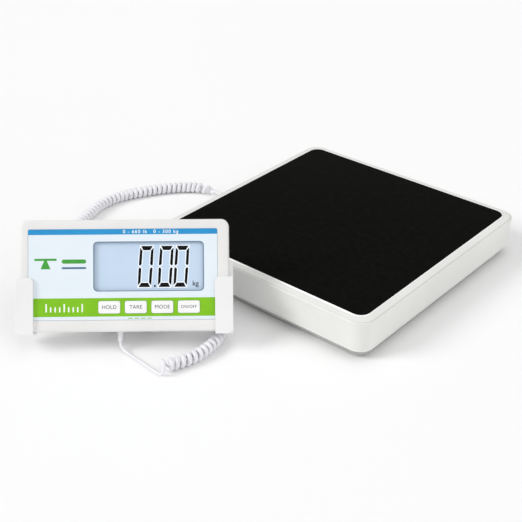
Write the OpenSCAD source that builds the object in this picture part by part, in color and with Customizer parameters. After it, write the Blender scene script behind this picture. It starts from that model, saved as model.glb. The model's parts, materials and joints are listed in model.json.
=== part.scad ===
// Floor weighing scale with a remote indicator in a desk cradle, in millimetres.
// The platform stands on four rubber feet; a curly lead joins it to the indicator.

/* [Platform] */
// Width of the platform at its rim, along X
platform_w = 305; // [290:1:330]
// Depth of the platform at its rim, along Y
platform_d = 309; // [290:1:330]
// Height of the platform from the floor to the top of the mat
platform_h = 50; // [46:1:60]
// Radius of the platform's upright corners at the rim
rim_r = 18; // [14:1:26]
// Rim left bare around the mat
rim_w = 10.5; // [8:0.5:16]
// How far the cover's wall leans in between its rim and its lower edge
wall_lean = 2.1; // [0:0.1:4]
// Height of the cover's lower edge above the floor
skirt_z = 11; // [9:0.5:14]
// Corner radius of the mat
mat_r = 12; // [8:1:14]

/* [Indicator] */
// Width of the indicator's housing
ind_w = 214; // [205:1:225]
// Height of the indicator's housing along its face
ind_h = 115; // [112:1:125]
// Depth of the housing's flat part
ind_t = 20; // [20:0.5:24]
// Corner radius of the housing's face
ind_r = 8; // [5:1:12]
// How far the face leans back from upright, in degrees
lean = 33; // [25:1:40]
// Turn of the indicator about the vertical, in degrees
ind_yaw = 41.5; // [30:0.5:50]

/* [Cradle] */
// Height of the cradle's front lips along the face
lip_h = 55.8; // [40:0.2:60]
// Height of the cradle's back wings along the face
wing_h = 72; // [60:1:90]
// Thickness of the cradle's walls
cradle_t = 3; // [2:0.5:4]

/* [Lead] */
// Diameter of the plain lead
lead_d = 4; // [3:0.5:5]
// Outer diameter of the curly part
coil_d = 13.4; // [11:0.2:16]

/* [Hidden] */
$fn = 64;
tiny = 0.01; // overlap that joins two shapes

// ---- places of the two halves on the floor ----
platform_at = [14, 108, 0];
ind_at = [-33.5, -186, 26];
corners = [[-1, -1], [1, -1], [-1, 1], [1, 1]];

// ---- platform ----
half_x = platform_w / 2;
half_y = platform_d / 2;
rim_z = platform_h - 0.7;
mat_t = 2;
mat_floor = platform_h - mat_t;
lip_w = 1.6;
cover_t = 2.4;
roof_z = mat_floor - 2;
edge_drop = 1.8;
edge_in = 1.4;
tray_gap = 0.8;
tray_x = half_x - wall_lean - cover_t - tray_gap;
tray_y = half_y - wall_lean - cover_t - tray_gap;
tray_r = rim_r - wall_lean - cover_t - tray_gap;
tray_z = 3.5;
tray_t = 2.5;
tray_top = 15;
frame_z = tray_z + tray_t;
frame_t = 3;
cell_x = 90;
cell_y = 112;
cell_l = 70;
cell_b = 14;
cell_h = 12;
cell_z = frame_z + frame_t + 6;
spacer_in = 25;
bumper_h = 6;
top_z = cell_z + cell_h + bumper_h;
plate_t = 3;
boss_at = 62;
foot_at = 122;
foot_r = 14;
notch_w = 22;
lead_y = 22;
lead_z = frame_z + 3.5;

// ---- indicator, drawn flat: X right, Y up the face, Z out of the face ----
seam_z = -11;
wall = 2.2;
ov_x = [-98.5, 95.5];
ov_y = [12, 105.5];
ov_t = 0.5;
win_x = [-31, 80.7];
win_y = [42.2, 91.7];
key_w = 22.3;
key_h = 12.8;
key_x = [-15.5, 11.6, 38.7, 65.8];
key_y = 25.2;
key_gap = 0.3;
key_proud = 0.6;
board_z = -9.4;
board_t = 1.6;
bay_x = 30;
bay_y = [41.5, 94];
bay_floor = -11.6;
bay_back = -28;
door_t = 1.7;
aa_r = 7.2;
aa_l = 49.4;
spring_l = 1.1;
boss_x = 100;
boss_y = [8.5, 107.5];
port_z = -14.05;
relief_x = -6;
relief_l = 10;
jack_y = 88;
jack_z = -14.45;

// ---- cradle and stand ----
fit = 0.4;
arm_in = ind_w / 2 + fit;
arm_out = arm_in + cradle_t + 0.6;
lip_in = 92.8;
back_z = -ind_t - fit;
back_out = back_z - cradle_t;
floor_back = -16;
hinge_y = 14;
hinge_z = back_out - 4.8;
pin_r = 2;
knuckle_r = 4.4;
// the hinge axis in the upright frame of the stand: behind the face's foot, and up
hinge_b = hinge_y * sin(lean) - hinge_z * cos(lean);
hinge_up = ind_at[2] + hinge_y * cos(lean) + hinge_z * sin(lean);
base_half = 55;
base_b = [39, 100];
base_z = [1.5, 4.5];
screw_pitch = 44;
screw_b = 70;

// ---- the lead's route on the floor ----
coil_z = coil_d / 2;
tail_route = [
    [-42.08, -185.36, 9.7], [-41.4, -186, 8.2], [-39.4, -187, 5.8], [-34.4, -187.6, 3.4],
    [-27, -188, 2.3], [-18, -188.4, 2], [-5, -189.4, 2], [7, -190.6, 2], [19, -191, 2]
];
coil_route = [
    [19, -191], [23, -176.5], [28.8, -162], [32, -147], [31.8, -132], [29, -117],
    [21.5, -101], [8, -84], [-15, -70], [-46, -62], [-76, -62], [-106, -67],
    [-134, -72], [-162, -77], [-193, -80],
    [-223, -79], [-249, -69], [-268, -48], [-279, -22], [-288, 11], [-285, 41],
    [-273, 68], [-257, 94], [-237, 116], [-215, 128], [-192, 130]
];
end_route = [
    [-192, 130, 6.7], [-184, 130, 7.3], [-175, 130, 8.7], [-166, 130, 9.4],
    [-154, 130, 9.5], [-129.4, 130, 9.5]
];
// inside the indicator, drawn on the face
inner_route = [
    [relief_x, -9.9, port_z], [relief_x, 5, port_z], [-9, 10, -13.8], [-16, 15, -12.8],
    [-25, 18, -11.8], [-34, 19, -11.5]
];

// ================= shared shapes =================

// Flat plate with round upright corners, half sizes hx and hy, from z0 to z1
module slab(hx, hy, r, z0, z1) {
    translate([0, 0, z0]) linear_extrude(z1 - z0) round_rect(-hx, -hy, hx, hy, r);
}

module round_rect(x0, y0, x1, y1, r) {
    translate([x0 + r, y0]) square([x1 - x0 - 2 * r, y1 - y0]);
    translate([x0, y0 + r]) square([x1 - x0, y1 - y0 - 2 * r]);
    for (x = [x0 + r, x1 - r], y = [y0 + r, y1 - r]) translate([x, y]) circle(r);
}

// Block between two corners
module block(a, b) {
    translate(a) cube(b - a);
}

// Upright drum from z0 to z1
module drum(r, z0, z1) {
    translate([0, 0, z0]) cylinder(r = r, h = z1 - z0);
}

module at_corners(x, y) {
    for (c = corners) translate([c[0] * x, c[1] * y, 0]) children();
}

module on_platform() {
    translate(platform_at) children();
}

// Places a shape drawn flat on the leaning face
module on_face() {
    translate(ind_at) rotate([90 - lean, 0, ind_yaw]) children();
}

// Places a shape in the stand's upright frame: X right, Y behind, Z up from the floor
module on_desk() {
    translate([ind_at[0], ind_at[1], 0]) rotate([0, 0, ind_yaw]) children();
}

// Round tube swept along points: a ring at each point, square to the route
function unit(v) = v / norm(v);
function along(p, i) = unit(p[min(i + 1, len(p) - 1)] - p[max(i - 1, 0)]);
function side_of(t) = unit(cross(t, abs(t[2]) > 0.95 ? [1, 0, 0] : [0, 0, 1]));
function ring(c, t, r, n) = let (s = side_of(t), w = cross(s, t))
    [for (k = [0 : n - 1]) c + r * (cos(360 * k / n) * s + sin(360 * k / n) * w)];

module tube(p, r, n = 8) {
    last = len(p) - 1;
    points = [for (i = [0 : last]) each ring(p[i], along(p, i), r, n)];
    skin = [for (i = [0 : last - 1], k = [0 : n - 1])
        [i * n + k, (i + 1) * n + k, (i + 1) * n + (k + 1) % n, i * n + (k + 1) % n]];
    first_cap = [for (k = [0 : n - 1]) k];
    last_cap = [for (k = [n - 1 : -1 : 0]) last * n + k];
    polyhedron(points, concat(skin, [first_cap, last_cap]), convexity = 6);
}

// ================= platform =================

module cover_outer() {
    hull() {
        slab(half_x - wall_lean, half_y - wall_lean, rim_r - wall_lean, skirt_z, skirt_z + tiny);
        slab(half_x, half_y, rim_r, rim_z - edge_drop, rim_z - edge_drop + tiny);
        slab(half_x - edge_in, half_y - edge_in, rim_r - edge_in, rim_z - tiny, rim_z);
    }
}

module cover_inner() {
    inset = wall_lean + cover_t;
    hull() {
        slab(half_x - inset, half_y - inset, rim_r - inset, skirt_z - 1, skirt_z - 1 + tiny);
        slab(half_x - cover_t, half_y - cover_t, rim_r - cover_t, roof_z - tiny, roof_z);
    }
}

module platform_cover() {
    mat_x = half_x - rim_w;
    mat_y = half_y - rim_w;
    color("whitesmoke") on_platform() {
        difference() {
            union() {
                cover_outer($fn = 40);
                slab(mat_x + lip_w, mat_y + lip_w, mat_r + lip_w, rim_z - tiny, platform_h);
            }
            cover_inner($fn = 40);
            slab(mat_x, mat_y, mat_r, mat_floor, platform_h + 1);
            // arch over the lead's gland
            translate([-half_x, lead_y, 0])
                block([-1, -notch_w / 2, skirt_z - 2], [9, notch_w / 2, skirt_z + 5]);
        }
        at_corners(boss_at, boss_at) difference() {
            drum(4.6, top_z + 10, roof_z + tiny);
            drum(1.6, top_z + 9, roof_z - 0.6);
        }
    }
}

module platform_mat() {
    color([0.08, 0.08, 0.07]) on_platform()
        slab(half_x - rim_w, half_y - rim_w, mat_r, mat_floor, platform_h);
}

// Steel plate under the cover with two folded ribs that sit over the load cells
module top_frame() {
    plate_z = roof_z - plate_t;
    color("lightsteelblue") on_platform() {
        difference() {
            slab(138, 140, 12, plate_z, roof_z);
            at_corners(boss_at, boss_at) drum(4.8, plate_z - 1, roof_z + 1);
        }
        for (s = [-1, 1]) translate([0, s * cell_y, 0]) difference() {
            block([-132, -16, top_z], [132, 16, plate_z]);
            block([-133, -13, top_z + plate_t], [133, 13, plate_z]);
        }
    }
}

module cover_screws() {
    plate_z = roof_z - plate_t;
    color("silver") on_platform() at_corners(boss_at, boss_at) {
        drum(6, plate_z - 2.2, plate_z);
        drum(1.6, plate_z - tiny, roof_z - 0.8);
    }
}

module base_tray() {
    color("gainsboro") on_platform() difference() {
        slab(tray_x, tray_y, tray_r, tray_z, tray_top);
        slab(tray_x - tray_t, tray_y - tray_t, tray_r - tray_t, frame_z, tray_top + 1);
        at_corners(foot_at, foot_at) drum(3.2, tray_z - 1, frame_z + 1);
        at_corners(100, 60) drum(2.2, tray_z - 1, frame_z + 1);
        // open slot that the gland drops into
        block([-tray_x - 1, lead_y - 3, lead_z - 3], [-tray_x + tray_t + 1, lead_y + 3, tray_top + 1]);
    }
}

module base_frame() {
    color("slategray") on_platform() difference() {
        slab(136, 138, 14, frame_z, frame_z + frame_t);
        at_corners(foot_at, foot_at) drum(2.6, frame_z - 1, frame_z + frame_t + 1);
        at_corners(100, 60) drum(1.7, frame_z - 1, frame_z + frame_t + 1);
        for (x = [-70, 70]) translate([x, 0, 0]) slab(26, 46, 6, frame_z - 1, frame_z + frame_t + 1);
        translate([-136, lead_y, 0]) slab(12, 8, 2, frame_z - 1, frame_z + frame_t + 1);
    }
}

module base_screws() {
    color("silver") on_platform() at_corners(100, 60) {
        drum(3.6, tray_z - 1.8, tray_z);
        drum(1.7, tray_z - tiny, frame_z + frame_t);
    }
}

// Shear beam load cell with its two joined gauge holes, lying along X
module load_cell(c) {
    color("silver") on_platform() translate([c[0] * cell_x, c[1] * cell_y, 0]) difference() {
        block([-cell_l / 2, -cell_b / 2, cell_z], [cell_l / 2, cell_b / 2, cell_z + cell_h]);
        for (x = [-3.4, 3.4]) translate([x, 0, cell_z + cell_h / 2])
            rotate([90, 0, 0]) cylinder(r = 4, h = cell_b + 2, center = true);
        for (x = [-spacer_in - 5, -spacer_in + 5]) translate([x * c[0], 0, 0])
            drum(2.5, cell_z - 1, cell_z + cell_h + 1);
        translate([c[0] * spacer_in, 0, 0]) drum(2.6, cell_z - 1, cell_z + cell_h + 1);
    }
}

module cell_spacers() {
    color("slategray") on_platform() for (c = corners)
        translate([c[0] * (cell_x - spacer_in), c[1] * cell_y, 0]) difference() {
            block([-10, -cell_b / 2, frame_z + frame_t], [10, cell_b / 2, cell_z]);
            for (x = [-5, 5]) translate([x, 0, 0]) drum(2.5, frame_z, cell_z + 1);
        }
}

module cell_screws() {
    color("gray") on_platform() for (c = corners, x = [-5, 5])
        translate([c[0] * (cell_x - spacer_in) + x, c[1] * cell_y, 0]) {
            drum(2.5, frame_z + frame_t, cell_z + cell_h);
            translate([0, 0, cell_z + cell_h]) cylinder(r = 4.4, h = 3.4, $fn = 6);
        }
}

// Rubber buttons between the free ends of the cells and the top frame
module load_bumpers() {
    color("dimgray") on_platform() for (c = corners)
        translate([c[0] * (cell_x + spacer_in), c[1] * cell_y, 0])
            drum(6.5, cell_z + cell_h, top_z);
}

// Posts that catch the top frame before a cell is overloaded
module overload_stops() {
    color("gray") on_platform() for (x = [-20, 20], s = [-1, 1])
        translate([x, s * cell_y, 0]) {
            drum(4, frame_z + frame_t, top_z - 0.7);
            drum(7, frame_z + frame_t, frame_z + frame_t + 4);
        }
}

module junction_board() {
    color("seagreen") on_platform() {
        difference() {
            slab(34, 22, 2, 14, 15.6);
            at_corners(29, 17) drum(1.6, 13, 17);
        }
        block([-30, -6, 15.6], [-22, 6, 21]);
        block([22, -12, 15.6], [30, 12, 21]);
        block([-8, -5, 15.6], [4, 5, 17.4]);
    }
}

module board_standoffs() {
    color("khaki") on_platform() at_corners(29, 17) {
        drum(3, frame_z + frame_t, 14);
        drum(1.5, 14, 15.6);
        drum(2.8, 15.6, 17);
    }
}

module cell_leads() {
    color("firebrick") on_platform() for (c = corners) tube([
        [c[0] * 54.4, c[1] * cell_y, 21], [c[0] * 48, c[1] * 108, 18], [c[0] * 44, c[1] * 98, 11.2],
        [c[0] * 42, c[1] * 70, 10.6], [c[0] * 42, c[1] * 30, 10.6], [c[0] * 40, c[1] * 12, 13],
        [c[0] * 36, c[1] * 5.6, 18.5], [c[0] * 30.4, c[1] * 4.6, 18.5]
    ], 1.1);
}

// The lead inside the tray, from the gland to the junction board
module signal_lead() {
    color("white") on_platform() tube([
        [-143.2, lead_y, lead_z], [-134, lead_y, 10.2], [-124, lead_y - 1, 11.6], [-110, 19, 11.6],
        [-90, 12, 11.6], [-70, 4, 11.6], [-56, 0, 12.4], [-46, 0, 16], [-38, 0, 18.3],
        [-30.1, 0, 18.3]
    ], lead_d / 2);
}

module foot(c) {
    color([0.2, 0.2, 0.2]) on_platform() translate([c[0] * foot_at, c[1] * foot_at, 0]) difference() {
        union() {
            drum(foot_r, 1, tray_z);
            drum(foot_r - 1, 0, 1);
        }
        drum(5, -1, 2.6);
        drum(2.4, -1, tray_z + 1);
    }
}

module foot_screws() {
    color("silver") on_platform() at_corners(foot_at, foot_at) {
        drum(4.4, 1.6, 2.6);
        drum(2.4, 1.6, frame_z + frame_t);
        translate([0, 0, frame_z + frame_t]) cylinder(r = 4.6, h = 3, $fn = 6);
    }
}

module platform_gland() {
    color("white") on_platform() translate([-tray_x, lead_y, lead_z]) rotate([0, -90, 0]) difference() {
        union() {
            translate([0, 0, -tray_t - 1.4]) cylinder(r = 3.4, h = 1.4);
            translate([0, 0, -tray_t]) cylinder(r = 2.9, h = tray_t);
            cylinder(r = 3.8, h = 1.6);
            translate([0, 0, 1.6]) cylinder(r1 = 3.6, r2 = 2.8, h = 20);
        }
        translate([0, 0, -8]) cylinder(r = lead_d / 2, h = 50);
    }
}

// ================= indicator =================

module shell_prism(inset, z0, z1) {
    translate([0, 0, z0]) linear_extrude(z1 - z0)
        round_rect(-ind_w / 2 + inset, inset, ind_w / 2 - inset, ind_h - inset, ind_r - inset);
}

module at_bosses() {
    for (x = [-boss_x, boss_x], y = boss_y) translate([x, y, 0]) children();
}

module key_prism(x, grow, z0, z1) {
    hx = key_w / 2 + grow;
    hy = key_h / 2 + grow;
    translate([x, key_y, z0]) linear_extrude(z1 - z0) round_rect(-hx, -hy, hx, hy, 1.2 + grow);
}

module window_prism(grow, z0, z1) {
    translate([0, 0, z0]) linear_extrude(z1 - z0)
        round_rect(win_x[0] - grow, win_y[0] - grow, win_x[1] + grow, win_y[1] + grow, 3.5 + grow);
}

module indicator_front() {
    color("whitesmoke") on_face() {
        difference() {
            shell_prism(0, seam_z, 0);
            shell_prism(wall, seam_z - 1, -wall - 0.6);
            translate([0, 0, -0.6]) linear_extrude(2)
                round_rect(ov_x[0], ov_y[0], ov_x[1], ov_y[1], 2);
            window_prism(0, -1.7, 1);
            window_prism(-2, -5, 1);
            for (x = key_x) key_prism(x, key_gap, -5, 1);
        }
        at_bosses() difference() {
            drum(3.2, seam_z, -wall - 0.6 + tiny);
            drum(1.3, seam_z - 1, -4);
        }
    }
}

module indicator_rear() {
    color("whitesmoke") on_face() difference() {
        union() {
            difference() {
                shell_prism(0, -ind_t, seam_z);
                shell_prism(wall, -ind_t + wall, seam_z + 1);
            }
            // battery bay
            block([-bay_x - 2, bay_y[0] - 2, bay_back], [bay_x + 2, bay_y[1] + 1.5, bay_floor + 1.2]);
            at_bosses() drum(4, -ind_t + 1, seam_z);
        }
        block([-bay_x, bay_y[0], bay_back - 1], [bay_x, bay_y[1], bay_floor]);
        // the door's bed, open at its upper end, with a groove each side
        block([-bay_x, bay_y[0] - 1, bay_back - 1], [bay_x, bay_y[1] + 2, bay_back + door_t]);
        block([-bay_x - 1, bay_y[0] - 1, bay_back + 0.4], [bay_x + 1, bay_y[1] + 2, bay_back + 1.4]);
        at_bosses() {
            drum(3.2, -ind_t - 1, -ind_t + 2.6);
            drum(1.7, -ind_t - 1, seam_z + 1);
        }
        translate([relief_x, -1, port_z]) rotate([-90, 0, 0]) cylinder(r = 2.85, h = wall + 2);
        translate([ind_w / 2 - wall - 1, jack_y, jack_z]) rotate([0, 90, 0]) cylinder(r = 3.25, h = wall + 2);
    }
}

module graphic_overlay() {
    color([0.93, 0.96, 0.98]) on_face() difference() {
        translate([0, 0, -0.6]) linear_extrude(ov_t)
            round_rect(ov_x[0], ov_y[0], ov_x[1], ov_y[1], 2);
        window_prism(0, -2, 1);
        for (x = key_x) key_prism(x, key_gap, -2, 1);
    }
}

module display_window() {
    color([0.8, 0.87, 0.94, 0.6]) on_face() window_prism(0, -1.7, -0.1);
}

module display_glass() {
    color([0.7, 0.8, 0.86]) on_face()
        block([win_x[0] + 1, win_y[0] + 1, -5.4], [win_x[1] - 1, win_y[1] - 1, -wall - 0.6]);
}

module display_backlight() {
    color("ivory") on_face()
        block([win_x[0], win_y[0] - 0.5, board_z + board_t], [win_x[1], win_y[1] + 0.5, -5.4]);
}

module main_board() {
    color("seagreen") on_face() {
        difference() {
            block([-88, 12, board_z], [88, 104, board_z + board_t]);
            for (x = [-84, 84], y = [36, 100]) translate([x, y, 0]) drum(1.6, board_z - 1, board_z + 3);
        }
        block([-70, 60, board_z + board_t], [-56, 74, board_z + board_t + 1.6]);
        block([-50, 82, board_z + board_t], [-40, 88, board_z + board_t + 2.2]);
        block([-80, 84, board_z - 2.4], [-64, 90, board_z]);
    }
}

module board_screws() {
    color("silver") on_face() for (x = [-84, 84], y = [36, 100]) translate([x, y, 0]) {
        drum(2.8, board_z - 1.6, board_z);
        drum(1.6, board_z - tiny, board_z + board_t);
        drum(2.6, board_z + board_t, -wall - 0.6);
    }
}

module key_cap(i) {
    color("white") on_face() {
        key_prism(key_x[i], 0, -wall - 1.1, key_proud);
        key_prism(key_x[i], 1, -wall - 2, -wall - 0.9);
        translate([key_x[i], key_y, 0]) drum(2, -5, -wall - 1.9);
    }
}

module key_switches() {
    color("dimgray") on_face() for (x = key_x) translate([x, key_y, 0]) {
        block([-3, -3, board_z + board_t], [3, 3, -6.2]);
        drum(1.7, -6.2, -5.5);
    }
}

module buzzer() {
    color([0.15, 0.15, 0.15]) on_face() translate([60, 30, 0]) difference() {
        drum(6, board_z - 5, board_z);
        drum(1, board_z - 6, board_z - 4);
    }
}

module battery_door() {
    x = bay_x - 0.3;
    y0 = bay_y[0] - 0.7;
    y1 = bay_y[1] + 1.5;
    color("whitesmoke") on_face() {
        block([-x, y0, bay_back], [x, y1, bay_back + door_t - 0.2]);
        block([-x - 0.9, y0 + 2, bay_back + 0.5], [x + 0.9, y1 - 1, bay_back + 1.3]);
        for (k = [0 : 4]) block([-9, y1 - 8 - 3 * k, bay_back - 0.5], [9, y1 - 6.8 - 3 * k, bay_back + tiny]);
    }
}

module at_cells() {
    for (k = [0 : 3]) translate([(k - 1.5) * (2 * aa_r + 0.4), 0, bay_floor - aa_r - 0.1])
        if (k % 2 == 0) translate([0, bay_y[0], 0]) rotate([-90, 0, 0]) children();
        else translate([0, bay_y[1], 0]) rotate([90, 0, 0]) children();
}

module battery_cells() {
    color("goldenrod") on_face() at_cells() translate([0, 0, 0.4 + spring_l]) {
        cylinder(r = aa_r, h = aa_l);
        cylinder(r = 2.7, h = aa_l + 1.1);
    }
}

// A plate and a spring at the flat end of each cell, a plate at its button
module battery_contacts() {
    color("silver") on_face() at_cells() {
        block([-5, -5, 0], [5, 5, 0.4]);
        translate([0, 0, 0.4]) cylinder(r1 = 4.5, r2 = 2.5, h = spring_l);
        block([-5, -5, bay_y[1] - bay_y[0] - 0.4], [5, 5, bay_y[1] - bay_y[0]]);
    }
}

module dc_inlet() {
    mouth = ind_w / 2 - 0.3;
    inner = ind_w / 2 - wall;
    color([0.12, 0.12, 0.12]) on_face() {
        difference() {
            union() {
                translate([inner - tiny, jack_y, jack_z]) rotate([0, 90, 0])
                    cylinder(r = 3.2, h = mouth - inner);
                block([inner - 12, jack_y - 3.5, jack_z - 3.3], [inner, jack_y + 3.5, jack_z + 3.3]);
            }
            translate([inner - 8, jack_y, jack_z]) rotate([0, 90, 0]) cylinder(r = 2.8, h = 12);
        }
        translate([inner - 9, jack_y, jack_z]) rotate([0, 90, 0]) cylinder(r = 1, h = 9);
    }
}

module housing_screws() {
    color("silver") on_face() at_bosses() {
        drum(2.8, -ind_t + 0.6, -ind_t + 2.6);
        drum(1.3, -ind_t + 2, -4.5);
    }
}

module indicator_strain_relief() {
    color("white") on_face() translate([relief_x, 0, port_z]) {
        rotate([90, 0, 0]) difference() {
            union() {
                translate([0, 0, -wall - 1.4]) cylinder(r = 3.7, h = 1.4);
                translate([0, 0, -wall]) cylinder(r = 2.8, h = wall);
                cylinder(r = 3.6, h = 1.4);
                translate([0, 0, 1.4]) cylinder(r1 = 3.4, r2 = 2.6, h = relief_l - 1.4);
            }
            translate([0, 0, -6]) cylinder(r = lead_d / 2, h = 30);
        }
    }
}

// The lead inside the indicator, from the strain relief to the main board
module indicator_lead() {
    color("white") on_face() tube(inner_route, lead_d / 2);
}

// ================= cradle and stand =================

module cradle() {
    color("whitesmoke") on_face() difference() {
        union() {
            // back panel, cut high enough for the lead to pass beneath, and its two wings
            block([-arm_out, 2, back_out], [arm_out, 34, back_z]);
            for (s = [-1, 1]) scale([s, 1, 1]) {
                block([40, 33, back_out], [arm_out, wing_h, back_z]);
                block([arm_in, -fit - 2, back_out], [arm_out, lip_h, fit]);
                block([lip_in, -fit - 2, floor_back], [arm_out, -fit, fit + tiny]);
                translate([0, 0, fit]) linear_extrude(2.6) polygon([
                    [lip_in, -fit - 2], [arm_out - 4, -fit - 2], [arm_out, -fit + 2], [arm_out, lip_h],
                    [lip_in + 3, lip_h], [lip_in, lip_h - 3]
                ]);
            }
            for (s = [-1, 1]) translate([s * 36, 0, 0]) {
                translate([-6, hinge_y, hinge_z]) rotate([0, 90, 0]) cylinder(r = knuckle_r, h = 12);
                block([-6, hinge_y - 3.4, hinge_z], [6, hinge_y + 4.4, back_out + tiny]);
            }
        }
        translate([-60, hinge_y, hinge_z]) rotate([0, 90, 0]) cylinder(r = pin_r, h = 120);
    }
}

module hinge_pin() {
    color("silver") on_face() {
        translate([-43.5, hinge_y, hinge_z]) rotate([0, 90, 0]) cylinder(r = pin_r, h = 87);
        translate([-44.5, hinge_y, hinge_z]) rotate([0, 90, 0]) cylinder(r = 3.4, h = 2);
    }
}

module stand_base() {
    color("whitesmoke") on_desk() difference() {
        union() {
            translate([0, 0, base_z[0]]) linear_extrude(base_z[1] - base_z[0])
                round_rect(-base_half, base_b[0], base_half, base_b[1], 8);
            // two posts that lean forward from the plate to the hinge
            for (s = [-1, 1]) translate([s * 21.8 - 7.8, 0, 0]) {
                translate([0, hinge_b, hinge_up]) rotate([0, 90, 0]) cylinder(r = knuckle_r, h = 15.6);
                rotate([90, 0, 90]) linear_extrude(15.6) polygon([
                    [base_b[0] + 1, base_z[1] - tiny], [base_b[0] + 13, base_z[1] - tiny],
                    [hinge_b + 3.6, hinge_up + 2.4], [hinge_b - 3.6, hinge_up - 2.4]
                ]);
            }
            for (x = [-52, 49]) block([x, 46, base_z[1] - tiny], [x + 3, 93, base_z[1] + 2]);
        }
        translate([-60, hinge_b, hinge_up]) rotate([0, 90, 0]) cylinder(r = pin_r + 0.06, h = 120);
        for (x = [-1, 1], y = [-1, 1]) translate([x * screw_pitch / 2, screw_b + y * screw_pitch / 2, 0]) {
            drum(2.25, 0, 6);
            translate([0, 0, base_z[1] - 1.6]) cylinder(r1 = 2.25, r2 = 4, h = 1.6 + tiny);
        }
    }
}

module stand_pads() {
    color([0.2, 0.2, 0.2]) on_desk() for (x = [-45, 45], y = [48, 91]) translate([x, y, 0])
        drum(6, 0, base_z[0]);
}

// ================= lead between the two halves =================

module lead_tail() {
    color("white") tube(tail_route, lead_d / 2);
}

module curly_lead() {
    color("lavender") tube([for (p = coil_route) [p[0], p[1], coil_z]], coil_d / 2, 12);
}

module lead_end() {
    color("white") tube(end_route, lead_d / 2);
}

platform_cover();
platform_mat();
top_frame();
cover_screws();
base_tray();
base_frame();
base_screws();
load_cell(corners[0]);  // load_cell_front_left
load_cell(corners[1]);  // load_cell_front_right
load_cell(corners[2]);  // load_cell_back_left
load_cell(corners[3]);  // load_cell_back_right
cell_spacers();
cell_screws();
load_bumpers();
overload_stops();
junction_board();
board_standoffs();
cell_leads();
signal_lead();
foot(corners[0]);  // foot_front_left
foot(corners[1]);  // foot_front_right
foot(corners[2]);  // foot_back_left
foot(corners[3]);  // foot_back_right
foot_screws();
platform_gland();
indicator_front();
indicator_rear();
graphic_overlay();
display_window();
display_glass();
display_backlight();
main_board();
board_screws();
key_cap(0);  // key_hold
key_cap(1);  // key_tare
key_cap(2);  // key_mode
key_cap(3);  // key_power
key_switches();
buzzer();
battery_door();
battery_cells();
battery_contacts();
dc_inlet();
housing_screws();
indicator_strain_relief();
indicator_lead();
cradle();
hinge_pin();
stand_base();
stand_pads();
lead_tail();
curly_lead();
lead_end();
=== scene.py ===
import json
import math
import bmesh
import bpy
from mathutils import Matrix, Vector

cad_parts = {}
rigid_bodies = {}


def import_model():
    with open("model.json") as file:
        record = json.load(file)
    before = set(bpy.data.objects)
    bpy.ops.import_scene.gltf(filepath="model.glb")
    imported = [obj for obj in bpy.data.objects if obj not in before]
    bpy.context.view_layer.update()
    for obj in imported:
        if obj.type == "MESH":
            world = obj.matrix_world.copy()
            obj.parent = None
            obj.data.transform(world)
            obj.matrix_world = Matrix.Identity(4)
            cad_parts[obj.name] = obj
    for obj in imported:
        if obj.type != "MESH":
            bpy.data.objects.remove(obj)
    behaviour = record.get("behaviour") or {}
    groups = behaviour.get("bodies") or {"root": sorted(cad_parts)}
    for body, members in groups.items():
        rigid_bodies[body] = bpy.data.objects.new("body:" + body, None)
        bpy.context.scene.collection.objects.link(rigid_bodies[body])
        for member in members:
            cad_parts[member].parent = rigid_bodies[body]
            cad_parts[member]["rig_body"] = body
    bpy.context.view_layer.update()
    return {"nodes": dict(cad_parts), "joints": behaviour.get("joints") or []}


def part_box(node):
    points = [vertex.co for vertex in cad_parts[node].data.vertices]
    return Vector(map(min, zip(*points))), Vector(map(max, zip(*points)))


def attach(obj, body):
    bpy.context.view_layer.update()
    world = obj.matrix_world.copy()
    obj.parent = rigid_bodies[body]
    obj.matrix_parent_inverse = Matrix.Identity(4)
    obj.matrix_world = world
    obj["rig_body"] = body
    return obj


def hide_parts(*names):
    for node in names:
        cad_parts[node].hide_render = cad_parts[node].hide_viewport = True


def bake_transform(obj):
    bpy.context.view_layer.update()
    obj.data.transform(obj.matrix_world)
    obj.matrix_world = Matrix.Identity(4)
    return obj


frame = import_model()
joints = {joint["name"]: joint for joint in frame["joints"]}
mm = 0.001

# Pieces are drawn in millimetres on the face or over the platform, then put into the frame.
rightFace = Vector(joints["stand_fold"]["axis"])
upFace = Vector(joints["indicator_lift"]["axis"])
outFace = rightFace.cross(upFace)


def facePlaceOf(node):
    points = [vert.co for vert in frame["nodes"][node].data.vertices]
    across = [p.dot(rightFace) for p in points]
    foot = min(p.dot(upFace) for p in points)
    front = max(p.dot(outFace) for p in points)
    place = Matrix((rightFace, upFace, outFace)).transposed().to_4x4()
    place.translation = rightFace * (min(across) + max(across)) / 2 + upFace * foot + outFace * front
    return place


facePlace = facePlaceOf("indicator_front")  # X right, Y up the face, Z out of it
matLow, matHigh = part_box("platform_mat")
platformPlace = Matrix.Translation(((matLow.x + matHigh.x) / 2, (matLow.y + matHigh.y) / 2, 0))

# Camera.
camera = {"azimuth": 40.6, "elevation": 31.13, "lens": 70.94, "sensor": 36, "reach": 500,
          "at": (0.63326, -0.74982, 0.63121)}
cameraData = bpy.data.cameras.new("camera")
cameraData.lens = camera["lens"]
cameraData.sensor_width = camera["sensor"]
cameraData.clip_end = camera["reach"]
cameraPiece = bpy.data.objects.new("camera", cameraData)
bpy.context.scene.collection.objects.link(cameraPiece)
cameraPiece.location = camera["at"]
cameraPiece.rotation_euler = (math.radians(90 - camera["elevation"]), 0, math.radians(camera["azimuth"]))
bpy.context.scene.camera = cameraPiece
print("camera placed")


# Finishes.
def linear(code):
    parts = [int(code[i:i + 2], 16) / 255 for i in (1, 3, 5)]
    return tuple(c / 12.92 if c <= 0.04045 else ((c + 0.055) / 1.055) ** 2.4 for c in parts) + (1.0,)


def addNode(tree, kind, settings, links=None):
    node = tree.nodes.new(kind)
    for key, value in settings.items():
        if key in node.inputs:
            node.inputs[key].default_value = value
        else:
            setattr(node, key, value)
    for key, source in (links or {}).items():
        tree.links.new(source, node.inputs[key])
    return node


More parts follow.
